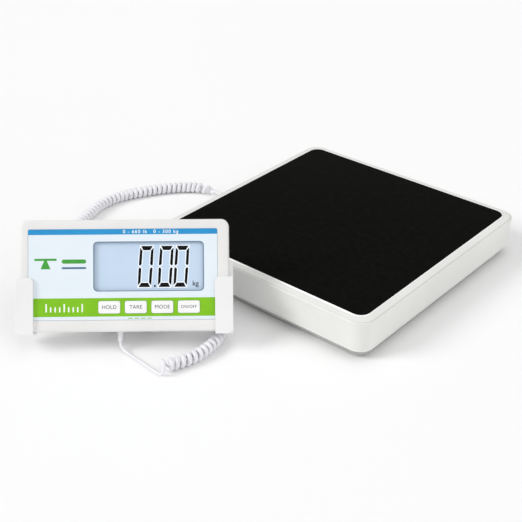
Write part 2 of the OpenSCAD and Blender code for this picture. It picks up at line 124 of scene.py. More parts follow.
def makeFinish(finish):
    material = bpy.data.materials.new(finish["name"])
    material.use_nodes = True
    tree = material.node_tree
    tree.nodes.clear()
    shader = addNode(tree, "ShaderNodeBsdfPrincipled", finish.get("shader", {}))
    addNode(tree, "ShaderNodeOutputMaterial", {}, {"Surface": shader.outputs[0]})
    coords = addNode(tree, "ShaderNodeTexCoord", {}).outputs["Object"]
    if "stretch" in finish:  # drawn out along one way, as brushing and rolling leave it
        coords = addNode(tree, "ShaderNodeMapping", {"Scale": finish["stretch"]}, {0: coords}).outputs[0]
    tone = addNode(tree, "ShaderNodeTexNoise", {"Scale": 1000 / finish["toneMm"], "Detail": 4.0},
                   {"Vector": coords})
    ramp = addNode(tree, "ShaderNodeValToRGB", {}, {"Fac": tone.outputs["Fac"]})
    for element, position, colour in zip(ramp.color_ramp.elements, (0.3, 0.7), finish["colours"]):
        element.position = position
        element.color = linear(colour)
    tree.links.new(ramp.outputs["Color"], shader.inputs["Base Color"])
    grainScale = 1000 / finish["grainMm"]
    if finish.get("cells"):
        grain = addNode(tree, "ShaderNodeTexVoronoi", {"Scale": grainScale}, {"Vector": coords})
        height = grain.outputs["Distance"]
    else:
        grain = addNode(tree, "ShaderNodeTexNoise", {"Scale": grainScale, "Detail": 3.0}, {"Vector": coords})
        height = grain.outputs["Fac"]
    spread = addNode(tree, "ShaderNodeMapRange",
                     {"To Min": finish["rough"][0], "To Max": finish["rough"][1]}, {"Value": height})
    tree.links.new(spread.outputs[0], shader.inputs["Roughness"])
    bump = addNode(tree, "ShaderNodeBump",
                   {"Strength": finish["bump"], "Distance": finish["bumpMm"] * mm}, {"Height": height})
    tree.links.new(bump.outputs[0], shader.inputs["Normal"])
    return material


# printed ink: a flat even colour with the sheen of the film or key under it
ink = {"grainMm": 0.4, "rough": (0.32, 0.45), "bump": 0.06, "bumpMm": 0.01, "shader": {"IOR": 1.5}}
faintInk = {**ink, "rough": (0.35, 0.45), "bump": 0.05}
lcdInk = {"grainMm": 0.5, "bump": 0.02, "bumpMm": 0.01}

# Grain is the size of the surface's own texture, and tone is the size of its faint patches of colour.
# Grain finer than about 0.4 mm is drawn at that size, so that it shows at all.
finishes = {
    # injection-moulded ABS: a soft sheen broken by a very fine spark-eroded texture
    "cover": {"name": "mouldedAbsCover", "colours": ("#e2e2df", "#e9e9e6"), "toneMm": 60, "grainMm": 0.9,
              "rough": (0.36, 0.46), "bump": 0.12, "bumpMm": 0.03, "shader": {"IOR": 1.53}},
    # the same ABS, glossier, and painted brighter as a highlight on the lip: a light line round the mat
    "coverLipHighlight": {"name": "paintedHighlightAbsLip", "colours": ("#f3f3f1", "#f8f8f6"), "toneMm": 60, "grainMm": 0.9,
                 "rough": (0.2, 0.28), "bump": 0.05, "bumpMm": 0.02, "shader": {"IOR": 1.53}},
    # ABS for a part hardly seen: painted grey as shade on the strip under the cover's skirt, with a coarser
    # texture and almost no gloss
    "tray": {"name": "paintedShadeAbsTray", "colours": ("#a9aaa7", "#b4b5b2"), "toneMm": 40, "grainMm": 1.1,
             "rough": (0.5, 0.62), "bump": 0.2, "bumpMm": 0.05, "shader": {"IOR": 1.53}},
    # ABS for parts held in the hand: a touch finer, with an even satin look
    "housing": {"name": "mouldedAbsHousing", "colours": ("#e6e5e4", "#ecebea"), "toneMm": 45, "grainMm": 0.7,
                "rough": (0.38, 0.48), "bump": 0.1, "bumpMm": 0.025, "shader": {"IOR": 1.53}},
    "cradle": {"name": "mouldedAbsCradle", "colours": ("#eaeaea", "#f0f0f0"), "toneMm": 45, "grainMm": 0.8,
               "rough": (0.4, 0.5), "bump": 0.12, "bumpMm": 0.03, "shader": {"IOR": 1.53}},
    "key": {"name": "mouldedAbsKey", "colours": ("#f4f4f4", "#fafafa"), "toneMm": 9, "grainMm": 0.5,
            "rough": (0.32, 0.42), "bump": 0.08, "bumpMm": 0.015, "shader": {"IOR": 1.5}},
    # pressed rubber sheet: a dull black with close fine granules that catch a little light
    "mat": {"name": "grainedRubberMat", "colours": ("#0a0a09", "#10100f"), "toneMm": 7, "grainMm": 1.3,
            "rough": (0.7, 0.9), "bump": 0.5, "bumpMm": 0.2, "cells": True,
            "shader": {"IOR": 1.3, "Specular IOR Level": 0.08}},
    # moulded rubber: dull and dark grey, with a dusty bloom
    "rubber": {"name": "mouldedRubberFoot", "colours": ("#1c1c1c", "#262625"), "toneMm": 6, "grainMm": 0.6,
               "rough": (0.7, 0.85), "bump": 0.3, "bumpMm": 0.06, "shader": {"IOR": 1.5}},
    # extruded soft PVC: smooth and slightly waxy
    "lead": {"name": "extrudedPvcLead", "colours": ("#e9e8ed", "#f1f0f4"), "toneMm": 12, "grainMm": 0.8,
             "rough": (0.3, 0.42), "bump": 0.08, "bumpMm": 0.02, "shader": {"IOR": 1.53}},
    "wire": {"name": "extrudedPvcWire", "colours": ("#7c1a16", "#8e211b"), "toneMm": 6, "grainMm": 0.6,
             "rough": (0.35, 0.5), "bump": 0.1, "bumpMm": 0.02, "shader": {"IOR": 1.53}},
    # printed polyester film: flat and even, with a faint silk texture
    "film": {**ink, "name": "printedPolyesterFilm", "colours": ("#e4eef6", "#e8f1f8"), "toneMm": 30,
             "rough": (0.3, 0.42), "shader": {"IOR": 1.6}},
    "blueInk": {**ink, "name": "screenInkBlue", "colours": ("#1f8fcb", "#2698d4"), "toneMm": 18},
    "greenInk": {**ink, "name": "screenInkGreen", "colours": ("#7abc09", "#83c60e"), "toneMm": 18},
    "darkGreenInk": {**ink, "name": "screenInkDarkGreen", "colours": ("#3b9a35", "#45a63e"), "toneMm": 8},
    "slateInk": {**ink, "name": "screenInkSlate", "colours": ("#4a6f8f", "#557b9a"), "toneMm": 8},
    "greyInk": {**faintInk, "name": "padInkGrey", "colours": ("#151517", "#1e1e20"), "toneMm": 4,
                "rough": (0.4, 0.5)},
    "paleInk": {**faintInk, "name": "screenInkPale", "colours": ("#b3bcc4", "#bdc6ce"), "toneMm": 8},
    "whiteInk": {**faintInk, "name": "screenInkWhite", "colours": ("#fbfbfb", "#ffffff"), "toneMm": 8},
    # liquid crystal glass over a lit guide: even pale blue and segments nearly black, each segment ringed by
    # a painted glow, a brighter halo that glows faintly
    "lcd": {**lcdInk, "name": "liquidCrystalField", "colours": ("#bdd1e7", "#c5d8ec"), "toneMm": 60,
            "rough": (0.25, 0.35),
            "shader": {"IOR": 1.5, "Emission Color": linear("#cfe0f2"), "Emission Strength": 0.05}},
    "lcdPaintedHalo": {**lcdInk, "name": "paintedHaloGlow", "colours": ("#eef5fd", "#f6faff"), "toneMm": 20,
                "rough": (0.25, 0.35),
                "shader": {"IOR": 1.5, "Emission Color": linear("#f4f9ff"), "Emission Strength": 0.15}},
    "segment": {**lcdInk, "name": "liquidCrystalSegment", "colours": ("#000000", "#040405"), "toneMm": 10,
                "rough": (0.3, 0.4), "shader": {"IOR": 1.5, "Specular IOR Level": 0.05}},
    # polished clear acrylic: not seen itself, only the faintest gleam over the display
    "lens": {"name": "clearAcrylicLens", "colours": ("#eef4fa", "#f4f8fc"), "toneMm": 40, "grainMm": 2,
             "rough": (0.06, 0.12), "bump": 0.02, "bumpMm": 0.01, "shader": {"IOR": 1.49, "Alpha": 0.005}},
    # milky acrylic: a pale block that spreads the light
    "lightGuide": {"name": "milkyAcrylicGuide", "colours": ("#eef0e8", "#f5f6f0"), "toneMm": 14,
                   "grainMm": 1, "rough": (0.3, 0.45), "bump": 0.1, "bumpMm": 0.03,
                   "shader": {"IOR": 1.49}},
    # zinc plate over rolled steel: pale grey with a faint streak along the sheet
    "zinc": {"name": "zincPlatedSteel", "colours": ("#a9adb1", "#bfc3c6"), "toneMm": 16, "grainMm": 0.8,
             "rough": (0.28, 0.44), "bump": 0.15, "bumpMm": 0.02, "stretch": (1, 0.12, 1),
             "shader": {"Metallic": 1.0}},
    # bright zinc on a small turned part: shinier, with no streak
    "screw": {"name": "brightZincScrew", "colours": ("#b2b3b4", "#c9cacb"), "toneMm": 3, "grainMm": 0.4,
              "rough": (0.22, 0.38), "bump": 0.15, "bumpMm": 0.02, "shader": {"Metallic": 1.0}},
    # milled aluminium: bright, with the cutter's fine lines along the bar
    "aluminium": {"name": "milledAluminium", "colours": ("#c3c5c7", "#d6d8da"), "toneMm": 6,
                  "grainMm": 0.6, "rough": (0.25, 0.4), "bump": 0.2, "bumpMm": 0.03,
                  "stretch": (0.1, 1, 1), "shader": {"Metallic": 1.0}},
    # turned brass: warm yellow with a clean shine
    "brass": {"name": "turnedBrass", "colours": ("#b9994f", "#cbaa5c"), "toneMm": 3, "grainMm": 0.4,
              "rough": (0.24, 0.36), "bump": 0.15, "bumpMm": 0.02, "shader": {"Metallic": 1.0}},
    # nickel plate on spring steel: slightly warm and the shiniest metal here
    "nickel": {"name": "nickelPlatedSpring", "colours": ("#b5b1a8", "#c8c4ba"), "toneMm": 3, "grainMm": 0.4,
               "rough": (0.16, 0.28), "bump": 0.1, "bumpMm": 0.02, "shader": {"Metallic": 1.0}},
    # solder-masked glass fibre: deep green lacquer over copper areas that show as lighter blocks
    "board": {"name": "solderMaskedBoard", "colours": ("#11502c", "#1c6a3c"), "toneMm": 5, "grainMm": 1.6,
              "rough": (0.22, 0.4), "bump": 0.25, "bumpMm": 0.05, "cells": True,
              "shader": {"IOR": 1.5, "Coat Weight": 0.3, "Coat Roughness": 0.15}},
    # moulded nylon: black with a soft satin sheen
    "nylon": {"name": "mouldedBlackNylon", "colours": ("#0e0e0f", "#161617"), "toneMm": 5, "grainMm": 0.5,
              "rough": (0.42, 0.58), "bump": 0.2, "bumpMm": 0.03, "shader": {"IOR": 1.53}},
    # shrink film on a cell: tight, smooth and glossy
    "cellWrap": {"name": "shrinkWrappedCell", "colours": ("#22262e", "#2c313b"), "toneMm": 12,
                 "grainMm": 0.8, "rough": (0.2, 0.32), "bump": 0.08, "bumpMm": 0.02,
                 "shader": {"IOR": 1.5}},
    # painted studio floor: matt and almost white
    "studioFloor": {"name": "paleStudioFloor", "colours": ("#f8f8f8", "#fafafa"), "toneMm": 900,
                    "grainMm": 5, "rough": (0.75, 0.85), "bump": 0.01, "bumpMm": 0.05,
                    "shader": {"Specular IOR Level": 0.1}},
}
looks = {key: makeFinish(finish) for key, finish in finishes.items()}
print("finishes made:", len(looks))


# Shared making.
sharpAngle = math.radians(32)
plateSteps = 6  # points round each corner of a small plate
softening = {"merge": 0.00002, "flatAngle": 2, "bevelAngle": 40, "segments": 3}
lettering = {"capital": 0.69, "inkDepth": 0.02}  # a capital's height as a share of the font's size


def addRing(bm, halfX, halfY, radius, z, x=0, y=0, steps=10):
    verts = []
    for quarter, (sx, sy) in enumerate(((1, 1), (-1, 1), (-1, -1), (1, -1))):
        for k in range(steps + 1):
            turn = math.radians(90 * (quarter + k / steps))
            verts.append(bm.verts.new((x + sx * (halfX - radius) + radius * math.cos(turn),
                                       y + sy * (halfY - radius) + radius * math.sin(turn), z)))
    return [bm.edges.new((verts[i - 1], verts[i])) for i in range(len(verts))]


def addLoft(bm, rows, steps=10):
    rings = [addRing(bm, *row, steps=steps) for row in rows]
    for low, high in zip(rings, rings[1:]):
        bmesh.ops.bridge_loops(bm, edges=low + high)
    for end in (rings[0], rings[-1]):
        bmesh.ops.edgeloop_fill(bm, edges=end)
    return bm


def addPlate(bm, x0, y0, x1, y1, radius, z0, z1):
    halfX, halfY, x, y = (x1 - x0) / 2, (y1 - y0) / 2, (x0 + x1) / 2, (y0 + y1) / 2
    return addLoft(bm, [(halfX, halfY, radius, z0, x, y), (halfX, halfY, radius, z1, x, y)], plateSteps)


def addPolygon(bm, points, z, height):
    verts = [bm.verts.new((x, y, z)) for x, y in points]
    face = bm.faces.new(verts)
    made = bmesh.ops.extrude_face_region(bm, geom=[face])
    top = [item for item in made["geom"] if isinstance(item, bmesh.types.BMVert)]
    bmesh.ops.translate(bm, vec=(0, 0, height), verts=top)


def addTurned(bm, profile, steps=40):
    verts = [bm.verts.new((r, 0, z)) for r, z in profile]
    edges = [bm.edges.new(pair) for pair in zip(verts, verts[1:])]
    bmesh.ops.spin(bm, geom=verts + edges, angle=math.tau, steps=steps, axis=(0, 0, 1), cent=(0, 0, 0),
                   use_merge=True)
    bmesh.ops.remove_doubles(bm, verts=bm.verts, dist=0.001)
    return bm


def putMesh(mesh, name, body, look, replaces=()):
    mesh.materials.clear()
    mesh.materials.append(looks[look])
    piece = bpy.data.objects.new(name, mesh)
    bpy.context.scene.collection.objects.link(piece)
    if body:
        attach(piece, body)
    if replaces:
        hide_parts(*replaces)
    return piece


def shade(mesh):
    mesh.shade_smooth()
    mesh.set_sharp_from_angle(angle=sharpAngle)
    return mesh


def placedMesh(bm, name, place):
    bmesh.ops.recalc_face_normals(bm, faces=bm.faces)
    bmesh.ops.transform(bm, matrix=place @ Matrix.Scale(mm, 4), verts=bm.verts)
    mesh = bpy.data.meshes.new(name)
    bm.to_mesh(mesh)
    bm.free()
    return mesh


def meshOf(holder):  # the mesh that a curve, a text or a modifier gives
    bpy.context.view_layer.update()
    return bpy.data.meshes.new_from_object(holder.evaluated_get(bpy.context.evaluated_depsgraph_get()))


def putPiece(bm, name, body, look, place, replaces=()):
    return putMesh(shade(placedMesh(bm, name, place)), name, body, look, replaces)


def cutAway(piece, bm, place):
    cutter = bpy.data.objects.new("cutter", placedMesh(bm, "cutter", place))
    bpy.context.scene.collection.objects.link(cutter)
    cut = piece.modifiers.new("cut", "BOOLEAN")
    cut.object = cutter
    cut.operation = "DIFFERENCE"
    cut.solver = "EXACT"
    piece.data = meshOf(piece)
    piece.modifiers.clear()
    bpy.data.objects.remove(cutter)
    shade(piece.data)


def softenNode(node, name, look, width):
    source = frame["nodes"][node]
    bm = bmesh.new()
    bm.from_mesh(source.data)
    bmesh.ops.remove_doubles(bm, verts=bm.verts, dist=softening["merge"])
    bmesh.ops.dissolve_limit(bm, angle_limit=math.radians(softening["flatAngle"]), verts=bm.verts,
                             edges=bm.edges)
    mesh = bpy.data.meshes.new(name)
    bm.to_mesh(mesh)
    bm.free()
    piece = putMesh(shade(mesh), name, source["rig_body"], look, [node])
    bevel = piece.modifiers.new("softEdges", "BEVEL")
    bevel.width = width * mm
    bevel.segments = softening["segments"]
    bevel.limit_method = "ANGLE"
    bevel.angle_limit = math.radians(softening["bevelAngle"])
    bevel.use_clamp_overlap = True


def putLettering(text, name, body, look, place, at, height, weight=0.0, spacing=1.0):
    curve = bpy.data.curves.new(name, "FONT")
    curve.body = text
    curve.size = height / lettering["capital"]
    curve.align_x = "CENTER"
    curve.align_y = "CENTER"
    curve.offset = weight
    curve.space_character = spacing
    curve.extrude = lettering["inkDepth"]
    holder = bpy.data.objects.new(name + "Outline", curve)
    bpy.context.scene.collection.objects.link(holder)
    mesh = meshOf(holder)
    bpy.data.objects.remove(holder)
    mesh.transform(place @ Matrix.Scale(mm, 4) @ Matrix.Translation(at))
    putMesh(mesh, name, body, look)


# The lead.
lead = {
    "diameter": 3.0, "coilWire": 5.2, "coilDiameter": 14.2, "pitch": 6.8, "perTurn": 14, "coilHeight": 6.7,
    "slack": 5.0, "looseTurns": 1.8, "loosen": 0.3,  # the first turns are pulled out and wider
    "endSlack": 16.0, "endTurns": 2.2,  # and the last are drawn out to the plain end
    "thickenTurns": 0.6, "thinTurns": 1.6, "plainHeight": 2.0,
    "tail": [(-42.08, -185.36, 9.7), (-41.4, -186, 8.2), (-39.4, -187, 5.8), (-34.4, -187.6, 3.4),
             (-27, -188, 2.3), (-18, -188.4, 2), (-5, -189.4, 2), (7, -190.6, 2), (19, -191, 2)],
    "coil": [(19, -191), (23, -176.5), (28.8, -162), (32, -147), (31.8, -132), (29, -117),
             (21.5, -101), (8, -84), (-15, -70), (-46, -62), (-76, -62), (-106, -67), (-134, -72),
             (-162, -77), (-193, -80), (-223, -79), (-249, -69), (-268, -48), (-279, -22), (-288, 11),
             (-285, 41), (-273, 68), (-257, 94), (-237, 116), (-215, 128), (-192, 130)],
    "end": [(-192, 130, 6.7), (-184, 130, 7.3), (-175, 130, 8.7), (-166, 130, 9.4),
            (-154, 130, 9.5), (-129.4, 130, 9.5)],
}


def smoothLine(points, parts):
    points = [Vector(p).to_3d() for p in points]
    line = []
    for i in range(len(points) - 1):
        a, b = points[max(i - 1, 0)], points[i]
        c, d = points[i + 1], points[min(i + 2, len(points) - 1)]
        for k in range(parts):
            t = k / parts
            line.append(0.5 * (2 * b + (c - a) * t + (2 * a - 5 * b + 4 * c - d) * t * t
                               + (3 * b - a - 3 * c + d) * t ** 3))
    return line + [points[-1]]


def lengthOf(line):
    return sum((b - a).length for a, b in zip(line, line[1:]))


def tubeMesh(line, radius, sides, name, swell=None):
    curve = bpy.data.curves.new(name, "CURVE")
    curve.dimensions = "3D"
    curve.bevel_depth = radius
    curve.bevel_resolution = sides
    curve.use_fill_caps = True
    spline = curve.splines.new("POLY")
    spline.points.add(len(line) - 1)
    for point, at, grow in zip(spline.points, line, swell or [1] * len(line)):
        point.co = (*at, 1)
        point.radius = grow
    holder = bpy.data.objects.new(name + "Line", curve)
    bpy.context.scene.collection.objects.link(holder)
    mesh = meshOf(holder)
    bpy.data.objects.remove(holder)
    mesh.shade_smooth()
    return mesh


def helixLine():
    flat = smoothLine([(x, y, 0) for x, y in lead["coil"]], 24)
    total = lengthOf(flat)
    turns = round(total / lead["pitch"])
    count = turns * lead["perTurn"]
    reach = (lead["coilDiameter"] - lead["coilWire"]) / 2
    thin = lead["diameter"] / lead["coilWire"]
    line, swell, travelled, i = [], [], 0.0, 0
    for k in range(count + 1):
        done, left = k / lead["perTurn"], (count - k) / lead["perTurn"]
        inward = min(1.0, left / lead["endTurns"])
        want = total * k / count + lead["slack"] * min(1.0, done) * (1 - k / count)
        want -= lead["endSlack"] * inward * k / count
        while i < len(flat) - 2 and travelled + (flat[i + 1] - flat[i]).length < want:
            travelled += (flat[i + 1] - flat[i]).length
            i += 1
        step = flat[i + 1] - flat[i]
        at = flat[i] + step * min((want - travelled) / step.length, 1.0)
        side = Vector((step.y, -step.x, 0)).normalized()
        turn = math.tau * k / lead["perTurn"]
        # the first turns are slack, and the last winds in to the middle of the coil
        radius = reach * inward * inward * (3 - 2 * inward)
        radius *= 1 + lead["loosen"] * max(0.0, 1 - done / lead["looseTurns"])
        full = min(1.0, done / lead["thickenTurns"], left / lead["thinTurns"])
        swell.append(thin + (1 - thin) * full)
        half = max(lead["plainHeight"], swell[-1] * lead["coilWire"] / 2)
        height = max(lead["coilHeight"], radius + half)
        line.append(at + side * radius * math.sin(turn) + Vector((0, 0, height - radius * math.cos(turn))))
    return line, swell


tailLine = [p * mm for p in smoothLine(lead["tail"], 4)]
coilPoints, coilSwell = helixLine()
coilLine = [p * mm for p in coilPoints]
endLine = [p * mm for p in smoothLine(lead["end"], 5)]
wire, coilWire = lead["diameter"] * mm, lead["coilWire"] * mm

leadTail = putMesh(tubeMesh(tailLine, wire / 2, 4, "leadTail"), "leadTail", None, "lead")
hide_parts("lead_tail")
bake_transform(leadTail)
curlyLead = putMesh(tubeMesh(coilLine, coilWire / 2, 3, "curlyLead", coilSwell), "curlyLead", "base",
                    "lead", ["curly_lead"])
leadEnd = putMesh(tubeMesh(endLine, wire / 2, 4, "leadEnd"), "leadEnd", "base", "lead", ["lead_end"])
print("lead laid, metres:", round(sum(map(lengthOf, (tailLine, coilLine, endLine))), 3))

# Platform.
cover = {"halfX": 152.5, "halfY": 154.5, "radius": 18, "lean": 2.1, "wall": 2.4, "foot": 11.0,
         "top": 49.3, "matX": 142.0, "matY": 144.0, "matRadius": 12, "lip": 1.6, "lipTop": 50.0,
         "recess": 48.0, "roof": 46.0, "steps": 14, "arch": (27, 18, 6, 18), "archHeight": 7}


def coverRow(inset, z):
    return (cover["halfX"] - inset, cover["halfY"] - inset, cover["radius"] - inset, z)


def matRow(grow, z):
    return (cover["matX"] + grow, cover["matY"] + grow, cover["matRadius"] + grow, z)


def makeCover():
    lean, wall, foot, top, lip = (cover[key] for key in ("lean", "wall", "foot", "top", "lip"))
    lipTop = cover["lipTop"]
    rows = [coverRow(wall, cover["roof"]), coverRow(wall + lean, foot + 0.5),  # inside
            coverRow(wall + lean - 0.4, foot), coverRow(lean + 0.1, foot), coverRow(lean - 0.3, foot + 0.3),
            coverRow(lean - 0.35, foot + 1.5), coverRow(lean + 0.1, foot + 1.9),  # bead at the foot
            coverRow(lean + 0.1, foot + 2.3), coverRow(lean - 0.2, foot + 2.7)]
    rows += [coverRow(inset, top - drop) for inset, drop in  # leaning wall and shoulder
             ((0.25, 5.2), (0.06, 3.6), (0.1, 2.9), (0.35, 2.3), (0.8, 1.95), (1.2, 1.9))]
    rows += [coverRow(inset, top - drop) for inset, drop in  # a fine groove, then the rim
             ((1.35, 2.5), (1.95, 2.45), (2.1, 1.5), (2.5, 1.2), (3.4, 1.0))]
    rows += [matRow(lip + 1.2, top - 0.35), matRow(lip + 0.3, top - 0.2),  # the lip that holds the mat
             matRow(lip - 0.05, top + 0.2), matRow(lip - 0.5, lipTop - 0.05), matRow(0.7, lipTop),
             matRow(0.3, lipTop - 0.1), matRow(0.12, lipTop - 0.5), matRow(0.1, cover["recess"])]
    piece = putPiece(addLoft(bmesh.new(), rows, cover["steps"]), "platformCover", "platform_top", "cover",
                     platformPlace, ["platform_cover"])
    length, width, radius, depth = cover["arch"]  # the arch over the gland
    arch = addPlate(bmesh.new(), -length / 2, -width / 2, length / 2, width / 2, radius, 0, depth)
    low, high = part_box("platform_gland")
    archY = (low.y + high.y) / 2 / mm - platformPlace.translation.y / mm
    turn = Matrix.Translation((-cover["halfX"] - depth / 2, archY, cover["archHeight"]))
    bmesh.ops.transform(arch, matrix=turn @ Matrix.Rotation(math.radians(90), 4, "Y"), verts=arch.verts)
    cutAway(piece, arch, platformPlace)
    # the lip's faces take the brighter finish: a painted highlight round the mat
    piece.data.materials.append(looks["coverLipHighlight"])
    for face in piece.data.polygons:
        face.material_index = 1 if face.center.z > (top - 0.1) * mm else 0


tray = {"halfX": 147.2, "halfY": 149.2, "radius": 12.7, "wall": 2.5, "bottom": 3.5, "floor": 6.0,
        "top": 15.0, "roll": 3.4, "soft": 0.3, "slotHalf": 3.0,
        "footHoles": (122, 122, 3.2), "screwHoles": (100, 60, 2.2),  # each x, y and radius
        "drill": 8, "drillMiddle": 5, "slotFrom": 6.5}


def makeTray():
    def row(inset, z):
        return (tray["halfX"] - inset, tray["halfY"] - inset, tray["radius"] - inset, z)

    wall, bottom, top, roll, soft = (tray[key] for key in ("wall", "bottom", "top", "roll", "soft"))
    rows = [row(wall, tray["floor"]), row(wall, top - soft), row(wall - soft, top), row(soft, top),
            row(0, top - soft), row(0, bottom + roll)]
    for turn in (20, 40, 60, 75, 90):  # the rolled lower edge
        back = roll * (1 - math.cos(math.radians(turn)))
        rows.append(row(back, bottom + roll - roll * math.sin(math.radians(turn))))
    # the tray's grey finish is painted shade for the strip seen under the skirt
    piece = putPiece(addLoft(bmesh.new(), rows, 12), "baseTray", "base", "tray", platformPlace,
                     ["base_tray"])
    cutter = bmesh.new()
    for x, y, radius in (tray["footHoles"], tray["screwHoles"]):
        for sx, sy in ((1, 1), (1, -1), (-1, 1), (-1, -1)):
            bmesh.ops.create_cone(cutter, cap_ends=True, segments=32, radius1=radius, radius2=radius,
                                  depth=tray["drill"],
                                  matrix=Matrix.Translation((sx * x, sy * y, tray["drillMiddle"])))
    low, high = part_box("platform_gland")
    slotY = ((low.y + high.y) / 2 - platformPlace.translation.y) / mm
    addPlate(cutter, -tray["halfX"] - 2, slotY - tray["slotHalf"], -tray["halfX"] + wall + 1.5,
             slotY + tray["slotHalf"], 0.2, tray["slotFrom"], top + 2)
    cutAway(piece, cutter, platformPlace)


matShape = {"gap": 0.15, "bottom": 48.0, "top": 50.0}


def makeMat():
    gap, top = matShape["gap"], matShape["top"]
    rows = [matRow(-gap, matShape["bottom"]), matRow(-gap, top - 0.5), matRow(-0.3, top - 0.15),
            matRow(-0.7, top)]
    piece = putPiece(addLoft(bmesh.new(), rows, 12), "rubberMat", "platform_top", "mat", platformPlace,
                     ["platform_mat"])


makeCover()
makeMat()
makeTray()
footShape = {"radius": 14, "height": 3.5, "hole": 5.0, "bore": 2.4, "ledge": 2.6,
             "grooves": (7.2, 9.2, 11.2), "grooveDepth": 0.5}


def makeFoot(node):
    low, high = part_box(node)
    radius, height, hole, bore = (footShape[key] for key in ("radius", "height", "hole", "bore"))
    ledge, depth = footShape["ledge"], footShape["grooveDepth"]
    profile = [(bore, height), (bore, ledge), (hole, ledge), (hole, 0.3), (hole + 0.3, 0)]
    for groove in footShape["grooves"]:  # tread rings
        profile += [(groove, 0), (groove + 0.1, depth), (groove + 0.7, depth), (groove + 0.8, 0)]
    profile += [(radius - 1.3, 0), (radius - 0.4, 0.4), (radius - 0.1, 1.1), (radius, 2.0),
                (radius, height), (bore, height)]
    place = Matrix.Translation(((low.x + high.x) / 2, (low.y + high.y) / 2, 0))
    name = "rubber" + "".join(word.capitalize() for word in node.split("_"))
    piece = putPiece(addTurned(bmesh.new(), profile), name, "base", "rubber", place, [node])


for side in ("front_left", "front_right", "back_left", "back_right"):
    makeFoot("foot_" + side)
print("platform made")

# Indicator.
housing = {"halfX": 107, "halfY": 57.5, "radius": 8, "seam": -11, "seamSoft": 0.35, "wall": 2.2,
           "round": 2.4, "back": -2.8}
film = {"x": (-98.5, 95.5), "y": (12, 105.5), "radius": 2, "top": -0.1, "bottom": -0.6}
window = {"x": (-31, 80.7), "y": (42.2, 91.7), "radius": 3.5}
openings = {"from": -5, "to": 2}  # how deep the window and the key holes are cut
keys = {"names": ("hold", "tare", "mode", "power"), "legends": ("HOLD", "TARE", "MODE", "ON/OFF"),
        "x": (-15.5, 11.6, 38.7, 65.8), "y": 25.2, "width": 22.3, "height": 12.8, "radius": 2.0,
        "proud": 0.6, "gap": 0.25, "legendHeight": 3.7, "longLegend": 0.81, "legendSpacing": 1.04,
        "skirt": 0.9, "skirtBottom": -4.2, "skirtTop": -3.2,
        "crown": ((0, 0.55), (0.08, 0.3), (0.3, 0.12), (0.7, 0.03), (1.4, 0.0))}  # each inset and drop


def addArea(bm, area, grow, z0, z1):
    return addPlate(bm, area["x"][0] - grow, area["y"][0] - grow, area["x"][1] + grow,
                    area["y"][1] + grow, area["radius"] + grow, z0, z1)


def addFaceOpenings(bm):
    addArea(bm, window, 0, openings["from"], openings["to"])
    halfX, halfY = keys["width"] / 2 + keys["gap"], keys["height"] / 2 + keys["gap"]
    for x in keys["x"]:
        addPlate(bm, x - halfX, keys["y"] - halfY, x + halfX, keys["y"] + halfY,
                 keys["radius"] + keys["gap"], openings["from"], openings["to"])
    return bm


def makeHousingFront():
    halfX, halfY, radius, wall = housing["halfX"], housing["halfY"], housing["radius"], housing["wall"]
    seam, soft, seamSoft = housing["seam"], housing["round"], housing["seamSoft"]

    def row(inset, z):
        return (halfX - inset, halfY - inset, radius - inset, z, 0, halfY)

    filmRow = ((film["x"][1] - film["x"][0]) / 2, (film["y"][1] - film["y"][0]) / 2)
    filmAt = ((film["x"][0] + film["x"][1]) / 2, (film["y"][0] + film["y"][1]) / 2)
    rows = [row(wall, housing["back"]), row(wall, seam), row(seamSoft, seam), row(0.0, seam + seamSoft)]
    for turn in (0, 15, 30, 45, 60, 75, 90):  # the round front edge
        angle = math.radians(turn)
        rows.append(row(soft * (1 - math.cos(angle)), soft * (math.sin(angle) - 1)))
    for grow, z in ((0.5, 0), (0.15, -0.1), (0.05, -0.3), (0.05, film["bottom"])):  # the film's seat
        rows.append((filmRow[0] + grow, filmRow[1] + grow, film["radius"] + grow, z, *filmAt))
    piece = putPiece(addLoft(bmesh.new(), rows), "housingFront", "indicator", "housing", facePlace,
                     ["indicator_front"])
    cutAway(piece, addFaceOpenings(bmesh.new()), facePlace)


def makeFilm():
    bm = addArea(bmesh.new(), film, 0, film["bottom"], film["top"])
    piece = putPiece(bm, "overlayFilm", "indicator", "film", facePlace, ["graphic_overlay"])
    cutAway(piece, addFaceOpenings(bmesh.new()), facePlace)


prints = {"blue": (-98.3, 99.7, 95.3, 105.3), "green": (-98.3, 15.8, 93.1, 34.7), "frame": 0.75,
          "sink": 0.15, "rise": 0.05, "border": 0.45, "rangeText": "0 - 660 lb   0 - 300 kg",
          "rangeAt": (27, 102.4), "rangeHeight": 3.4, "rangeWeight": 0.05, "rangeSpacing": 1.25,
          "dash": (3.5, 13.5, 4.8, 0.8), "dashStep": 6.6,
          "pan": (-92, 73.2, -69, 75.4),
          "stand": ((-85.5, 64.6), (-75.5, 64.6), (-79.2, 73.4), (-81.8, 73.4)),
          "bar": (-64, 70.2, -39, 74.4), "thinBar": (-64, 64.6, -39, 66.6),
          "tick": (-80.6, 20.4, 1.4), "tickStep": 4.6, "tickHeights": (8.6, 5.4)}


